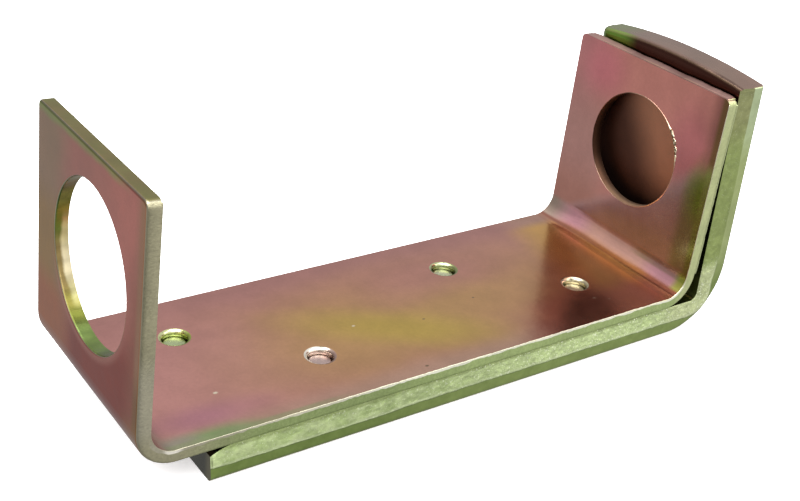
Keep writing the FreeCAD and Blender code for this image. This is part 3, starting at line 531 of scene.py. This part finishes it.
    # painted shadow on the drop at the plate's left end
    col = n.mix(n.step(x, -44.0, -45.5) * n.step(z, 4.2, 4.7) * (1.0 - front) * (1.0 - left), col, (0.035, 0.036, 0.022))

    # the tops of the pips
    for i, (px, py) in enumerate(PIPS):
        d = n.hyp(x - px, y - py)
        on = n.step(d, 2.6, 2.4) * n.step(z, 5.5, 6.0) * n.step(z, 9.0, 8.0) * (1.0 - far * 0.0)
        tint = [(0.45, 0.52, 0.30), (0.56, 0.42, 0.39), (0.56, 0.56, 0.42), (0.72, 0.66, 0.50)][i]
        col = n.mix(on, col, n.mix(n.noise(1.2, 3.0, 0.6, seed=float(i)), n.times(tint, (0.7, 0.7, 0.7)), tint))

    cloud = n.noise(0.16, 4.0, 0.6, seed=25.0)
    col = n.times(col, n.step(cloud, 0.25, 0.75, 0.92, 1.07))
    s = n.shader
    n.put(s.inputs["Base Color"], col)
    s.inputs["Metallic"].default_value = 1.0
    rough = 0.22 + cloud * 0.10 + front * 0.16 + front * torn * 0.16
    rough = rough + left * far * n.step(z, 44.0, 42.0) * 0.16
    n.put(s.inputs["Roughness"], rough)
    h = n.bump(n.noise(0.35, 3.0, 0.5, seed=2.0), 0.00006, 0.35)
    h = n.bump(grain * front * torn * (1.0 - stand * 0.8) * n.step(x, -34.0, 24.0, 0.45, 1.0), 0.00026, 1.0, h)
    h = n.bump(soft * front * torn * (1.0 - stand) * n.step(x, 12.0, -22.0, 0.3, 1.0), 0.00016, 0.5, h)
    h = n.bump(lines * front * (1.0 - torn), 0.00005, 0.6, h)
    n.put(s.inputs["Normal"], h)
    return n.mat


sheet_mat = sheet_material()
plate_mat = plate_material()


def give(obj, mat):
    obj.data.materials.clear()
    obj.data.materials.append(mat)


give(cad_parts["u_bracket"], sheet_mat)
give(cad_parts["backing_plate"], plate_mat)

# ------------------------------------------------- relief left by the tools
def run(corners, radius, step=0.25):
    """Points along straight runs with rounded corners, in the XZ plane, and
    the direction that stands off each one to the left of the way along."""
    pts = [Vector(c) for c in corners]
    path = []
    prev = pts[0]
    for i in range(1, len(pts)):
        end = pts[i]
        if i < len(pts) - 1:
            a, b = (pts[i] - pts[i - 1]).normalized(), (pts[i + 1] - pts[i]).normalized()
            turn = math.atan2(a.x * b.y - a.y * b.x, a.dot(b))
            back = radius * math.tan(abs(turn) / 2)
            end = pts[i] - a * back
        n = max(1, int((end - prev).length / step))
        d = (end - prev).normalized()
        path += [(prev + (end - prev) * (k / n), Vector((-d.y, d.x))) for k in range(n)]
        prev = end
        if i < len(pts) - 1:
            side = 1.0 if turn > 0 else -1.0
            mid = end + Vector((-a.y, a.x)) * radius * side
            m = max(4, int(radius * abs(turn) / step))
            for k in range(m):
                t = turn * k / m
                off = end - mid
                off = Vector((off.x * math.cos(t) - off.y * math.sin(t), off.x * math.sin(t) + off.y * math.cos(t)))
                d = Vector((a.x * math.cos(t) - a.y * math.sin(t), a.x * math.sin(t) + a.y * math.cos(t)))
                path.append((mid + off, Vector((-d.y, d.x))))
            prev = pts[i] + b * back
    path.append((pts[-1], path[-1][1]))
    return path


def mesh_piece(name, verts, faces, mat, smooth=True):
    me = bpy.data.meshes.new(name)
    me.from_pydata([tuple(c * 0.001 for c in v) for v in verts], [], faces)
    me.validate()
    me.update()
    bm = bmesh.new()
    bm.from_mesh(me)
    bmesh.ops.recalc_face_normals(bm, faces=bm.faces)
    bm.to_mesh(me)
    bm.free()
    for f in me.polygons:
        f.use_smooth = smooth
    me.materials.append(mat)
    o = bpy.data.objects.new(name, me)
    scene.collection.objects.link(o)
    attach(o, "root")
    return o


def ridge(name, rows, mat, closed=False):
    """A closed low ridge; each row is its foot, the way across, the way up,
    its width and its height, in millimetres."""
    section = ((0.0, -0.08), (0.02, 0.45), (0.22, 0.95), (0.5, 1.0), (0.8, 0.55), (1.0, -0.08))
    verts, faces = [], []
    m = len(section)
    for foot, across, up, w, h in rows:
        for a, u in section:
            rise = u * h if u > 0 else u
            verts.append(foot + across * (a * w) + up * rise)
    last = len(rows) if closed else len(rows) - 1
    for i in range(last):
        j = (i + 1) % len(rows)
        for k in range(m):
            kk = (k + 1) % m
            faces.append((i * m + k, i * m + kk, j * m + kk, j * m + k))
    if not closed:
        faces.append(tuple(range(m)))
        faces.append(tuple((len(rows) - 1) * m + k for k in reversed(range(m))))
    return mesh_piece(name, verts, faces, mat)


def rough(v, scale, seed, octaves=3):
    """Repeatable unevenness from 0 to 1."""
    p = Vector((v, seed * 7.3, seed * 3.1)) * scale
    return 0.5 + 0.5 * max(-1.0, min(1.0, noise.fractal(p, 1.0, 2.0, octaves) * 1.6))


def window(v, lo, hi, soft):
    """1 between lo and hi, falling to 0 over soft on both sides."""
    return max(0.0, min(1.0, (v - lo) / soft + 1.0, (hi - v) / soft + 1.0))


U_BEND = 4.30
cl = math.cos(math.atan(LEAN_L))
cr = math.cos(math.atan(LEAN_R))
li = X0 + G / cl                       # inner faces at the height of the base's underside
ri = X1 - G / cr
inside = [
    (li + LEAN_L * (50.0 - PG), 50.0), (li + LEAN_L * G, TOP),
    (ri + LEAN_R * G, TOP), (ri + LEAN_R * (47.9 - PG), 47.9),
]

burr = Net("raised burr")
# near-white tint, dimmer to the left: a real bright burr with a painted highlight on it
shade = burr.mix(burr.noise(0.7, 3.0, 0.6), (0.60, 0.58, 0.40), (0.97, 0.93, 0.76))
burr.put(burr.shader.inputs["Base Color"], burr.mix(burr.step(burr.x, -14.0, -38.0), shade, (0.60, 0.56, 0.42)))
burr.shader.inputs["Metallic"].default_value = 1.0
burr.put(burr.shader.inputs["Roughness"], 0.28 + burr.noise(1.5, 2.0, 0.5) * 0.2)

rows = []
for p, off in run(inside, U_BEND):
    v = p.x if p.y < 14 else p.x + (p.y - 14) * (-1 if p.x < 0 else 1)
    k = 0.20 + 0.45 * rough(v, 0.30, 1.0) + 0.45 * rough(v, 1.3, 2.0)
    if p.y < 14:
        k *= 0.45 + 0.55 * window(p.x, -34, 46, 8)
    elif p.x < 0:
        k *= 0.30
    else:
        k *= 0.25 + 0.35 * window(p.y, 38, 50, 4)
    rows.append((Vector((p.x, -19.995, p.y)), Vector((0, 1, 0)), Vector((off.x, 0, off.y)), 0.10 + 0.22 * k, 0.02 + 0.09 * k))
ridge("front_burr", rows, burr.mat)

# the rim of the right flange's hole, with the nicks at its upper near side
lip = Net("hole rim")
# nicks at the upper near side of the rim: real nicks with painted glints, near-white flecks among dark ones
near = lip.step(lip.y, -5.0, -8.0) * lip.step(lip.z, 31.5, 33.5) * lip.step(lip.z, 40.5, 38.5)
rim_tone_and_shade = lip.mix(lip.noise(0.5, 3.0, 0.6), (0.34, 0.19, 0.12), (0.72, 0.46, 0.36))
# painted shade on the lower back part of the rim
rim_tone_and_shade = lip.mix(lip.step(lip.y, 1.0, 6.0) * lip.step(lip.z, 22.0, 25.0) * 0.9, rim_tone_and_shade, (0.09, 0.045, 0.03))
lip.put(lip.shader.inputs["Base Color"], lip.mix(near, rim_tone_and_shade, lip.mix(lip.step(lip.noise(1.5, 2.0, 0.6, seed=9.0), 0.42, 0.52), (0.16, 0.11, 0.06), (0.95, 0.88, 0.64))))
lip.shader.inputs["Metallic"].default_value = 1.0
lip.put(lip.shader.inputs["Roughness"], 0.26 + lip.noise(1.5, 2.0, 0.5) * 0.2)
rows = []
count = 420
hx = ri + LEAN_R * (HOLE_R[1] - PG)
for i in range(count):
    t = 2 * math.pi * i / count
    deg = math.degrees(t)
    c, s = math.cos(t), math.sin(t)
    y, z = HOLE_R[0] + HOLE_R[2] * c, HOLE_R[1] + HOLE_R[2] * s
    x = hx + LEAN_R * (z - HOLE_R[1])
    k = 0.15 + 0.45 * rough(i * 0.17, 0.6, 5.0)
    k += 0.35 * max(window(deg, 70, 150, 25), window(deg, 205, 255, 20))
    k += window(deg, 138, 170, 8) * (1.5 * rough(i * 0.17, 5.0, 6.0, 2) - 0.1)
    k = max(0.10, k)
    rows.append((Vector((x + 0.01, y - 0.03 * c, z - 0.03 * s)), Vector((LEAN_R * s, c, s)).normalized(), Vector((-1, 0, 0)), 0.10 + 0.17 * k + 0.52 * window(deg, 142, 162, 6) * rough(i * 0.17, 4.0, 14.0, 2), 0.03 + 0.10 * k))
ridge("hole_burr", rows, lip.mat, closed=True)

# the right flange's front edge is swollen and ragged on the side of the gap
swell = Net("swollen edge")
grit = swell.noise(1.4, 3.0, 0.6)
swell.put(swell.shader.inputs["Base Color"], swell.mix(grit, tone("A6AE7E", FRONT), tone("C4C99C", FRONT)))
swell.shader.inputs["Metallic"].default_value = 1.0
swell.shader.inputs["Roughness"].default_value = 0.40
rows = []
z = 47.6
nx_r = Vector((1.0, 0.0, -LEAN_R)).normalized()
while z > 12.6:
    x = X1 + LEAN_R * (z - PG)
    gap = (XQ - LEAN_P * (z - PG)) - x
    h = 0.24 + 0.14 * max(0.0, min(1.0, (24.0 - z) / 8.0))
    h += 0.05 * (rough(z, 0.5, 8.0) - 0.5)
    nick = max(0.0, rough(z, 1.1, 9.0, 2) - 0.62) * window(z, 16.0, 34.0, 3)
    h = max(0.06, min(h - nick * 0.75, gap - 0.06, 0.10 + (47.6 - z) * 0.2, 0.10 + (z - 12.6) * 0.15))
    rows.append((Vector((x - 0.01, -19.985, z)), Vector((0, 1, 0)), nx_r, 0.9 + 0.3 * rough(z, 0.8, 10.0), h))
    z -= 0.22
ridge("gap_swell", rows, swell.mat)


# the torn band on the plate's front side: an uneven skin over the leaning face
def torn_skin():
    top = 50.1
    inner = [(-49.9, PG), (XQ, PG), (XQ - LEAN_P * (top - PG), top)]
    path = run(inner, BEND_IN, 0.2)
    cols = 17
    verts, faces = [], []
    for i, (p, off) in enumerate(path):
        drop = 0.0
        if p.x < -50.2 + 4.8:                       # the drop at the plate's left end
            t = (-50.2 + 4.8 - p.x) / 4.8
            drop = 1.3 * t * t
        s = i * 0.2
        for j in range(cols + 1):
            d = (TORN - 0.05) * j / cols
            room = 0.45 * (1.0 - d / TORN)
            q = Vector((s, d * 1.3, 0.0))
            f = 0.5 + 0.5 * noise.fractal(q * 1.1, 0.8, 2.1, 5) * 1.5
            g = noise.noise(Vector((s * 3.1, d * 4.0, 5.0)))
            calm = (0.55 + 0.45 * max(0.0, min(1.0, (p.x + 30.0) / 50.0))) * (1.0 - 0.75 * max(0.0, min(1.0, (p.y - 14.0) / 8.0)))
            lift = min(0.9 * room, 0.012 + calm * (0.15 * max(0.0, f) * (0.4 + 0.6 * min(1.0, room / 0.2)) + 0.03 * g))
            if j in (0, cols) or i in (0, len(path) - 1):
                lift = -0.03
            w = p - off * (d + drop * (1.0 if j == 0 else max(0.0, 1.0 - d / 2.0)))
            verts.append((w.x, -20.0 + room - lift, w.y))
    for i in range(len(path) - 1):
        for j in range(cols):
            a = i * (cols + 1) + j
            faces.append((a, a + 1, a + cols + 2, a + cols + 1))
    return mesh_piece("torn_skin", verts, faces, plate_mat)


torn_skin()


def crest_strip():
    """The raised shear lip along the right flange's top, sloping to the inside."""
    zt = 48.65
    verts, faces = [], []
    section = ((0.22, -0.08), (0.28, 0.02), (0.90, 0.16), (1.55, 0.36), (1.95, 0.46), (2.12, 0.36), (2.16, -0.08))
    m = len(section)
    steps = 150
    for i in range(steps + 1):
        y = -19.3 + 38.4 * i / steps
        end = max(0.0, min(1.0, (y + 19.3) / 1.2, (19.1 - y) / 1.2))
        k = (0.75 + 0.30 * (rough(y, 0.25, 12.0) - 0.5) + 0.12 * (rough(y, 1.2, 13.0) - 0.5)) * math.sqrt(end)
        for a, u in section:
            x = ri + LEAN_R * (zt - PG) + a
            verts.append((x, y, zt - a * LEAN_R + (u * k if u > 0 else u)))
    for i in range(steps):
        for k in range(m):
            kk = (k + 1) % m
            faces.append((i * m + k, i * m + kk, (i + 1) * m + kk, (i + 1) * m + k))
    faces.append(tuple(range(m)))
    faces.append(tuple(steps * m + k for k in reversed(range(m))))
    return mesh_piece("crest_strip", verts, faces, sheet_mat)


crest_strip()

# ---------------------------------------------------------------------- stage
def stage_plane():
    me = bpy.data.meshes.new("floor")
    s = 6.0
    me.from_pydata([(-s, -s, 0), (s, -s, 0), (s, s, 0), (-s, s, 0)], [], [(0, 1, 2, 3)])
    o = bpy.data.objects.new("floor", me)
    scene.collection.objects.link(o)
    m = bpy.data.materials.new("floor")
    m.use_nodes = True
    b = m.node_tree.nodes["Principled BSDF"]
    b.inputs["Base Color"].default_value = (0.94, 0.94, 0.94, 1)
    b.inputs["Roughness"].default_value = 1.0
    b.inputs["Specular IOR Level"].default_value = 0.0
    b.inputs["Emission Color"].default_value = (1.0, 1.0, 1.0, 1.0)
    b.inputs["Emission Strength"].default_value = 0.50
    me.materials.append(m)
    o.visible_glossy = False
    return o


stage_plane()

world = bpy.data.worlds.new("studio")
scene.world = world
world.use_nodes = True
wt = world.node_tree
wt.nodes.clear()
w_out = wt.nodes.new("ShaderNodeOutputWorld")
w_bg = wt.nodes.new("ShaderNodeBackground")
wt.links.new(w_bg.outputs[0], w_out.inputs[0])
w_tc = wt.nodes.new("ShaderNodeTexCoord")


def toward(d, lo, hi, amount):
    """Light from the world around direction d."""
    dv = Vector(d).normalized()
    dot = wt.nodes.new("ShaderNodeVectorMath")
    dot.operation = "DOT_PRODUCT"
    wt.links.new(w_tc.outputs["Generated"], dot.inputs[0])
    dot.inputs[1].default_value = dv
    r = wt.nodes.new("ShaderNodeMapRange")
    r.interpolation_type = "SMOOTHSTEP"
    wt.links.new(dot.outputs["Value"], r.inputs[0])
    r.inputs[1].default_value = math.cos(math.radians(hi))
    r.inputs[2].default_value = math.cos(math.radians(lo))
    r.inputs[3].default_value = 0.0
    r.inputs[4].default_value = amount
    return r.outputs[0]


def total(socks, base):
    acc = None
    for s in socks:
        a = wt.nodes.new("ShaderNodeMath")
        a.operation = "ADD"
        if acc is None:
            a.inputs[1].default_value = base
        else:
            wt.links.new(acc, a.inputs[1])
        wt.links.new(s, a.inputs[0])
        acc = a.outputs[0]
    return acc


glow = total(
    [
        toward((0, 0, 1), 10, 95, 0.60),             # overhead
        toward((0.3, -0.8, 0.2), 10, 80, 0.40),      # in front
        toward((-0.70, 0.55, 0.42), 10, 50, -0.20),  # the dim side, back left
        toward((-0.85, 0.45, -0.30), 12, 48, 0.18),  # low on the left
    ],
    0.45,
)
wt.links.new(glow, w_bg.inputs["Strength"])
w_bg.inputs["Color"].default_value = (1, 1, 1, 1)


def area(name, place, at, size, power, color=(1, 1, 1)):
    d = bpy.data.lights.new(name, "AREA")
    d.shape = "RECTANGLE"
    d.size, d.size_y = size
    d.energy = power
    d.color = color
    o = bpy.data.objects.new(name, d)
    o.location = place
    o.rotation_mode = "QUATERNION"
    o.rotation_quaternion = (Vector(at) - Vector(place)).to_track_quat("-Z", "Y")
    scene.collection.objects.link(o)
    return o


key = area("key", (-0.25, -0.20, 0.95), (0, 0, 0.02), (1.2, 1.2), 22.0)
fill = area("fill", (0.75, -0.50, 0.75), (0, 0, 0.02), (0.5, 0.5), 2.2)

# --------------------------------------------------------------------- camera
cam_data = bpy.data.cameras.new("camera")
cam_data.sensor_fit = "HORIZONTAL"
cam_data.sensor_width = 36.0
cam_data.lens = 56.741
cam_data.clip_start, cam_data.clip_end = 0.01, 20.0
cam = bpy.data.objects.new("camera", cam_data)
scene.collection.objects.link(cam)
right = Vector((0.821340337047481, -0.5625807173373008, 0.09435564222121645))
down = Vector((-0.1958765018426161, -0.4334975440419871, -0.8796091605568149))
ahead = Vector((0.5357540916919158, 0.7039764312743811, -0.4662453618488411))
turn = Matrix((right, -down, -ahead)).transposed().to_4x4()
cam.matrix_world = Matrix.Translation((-0.12359702, -0.15815497, 0.12542026)) @ turn
scene.camera = cam

scene.view_settings.view_transform = "Standard"
scene.view_settings.look = "None"
scene.view_settings.exposure = 0.0
scene.view_settings.gamma = 1.0
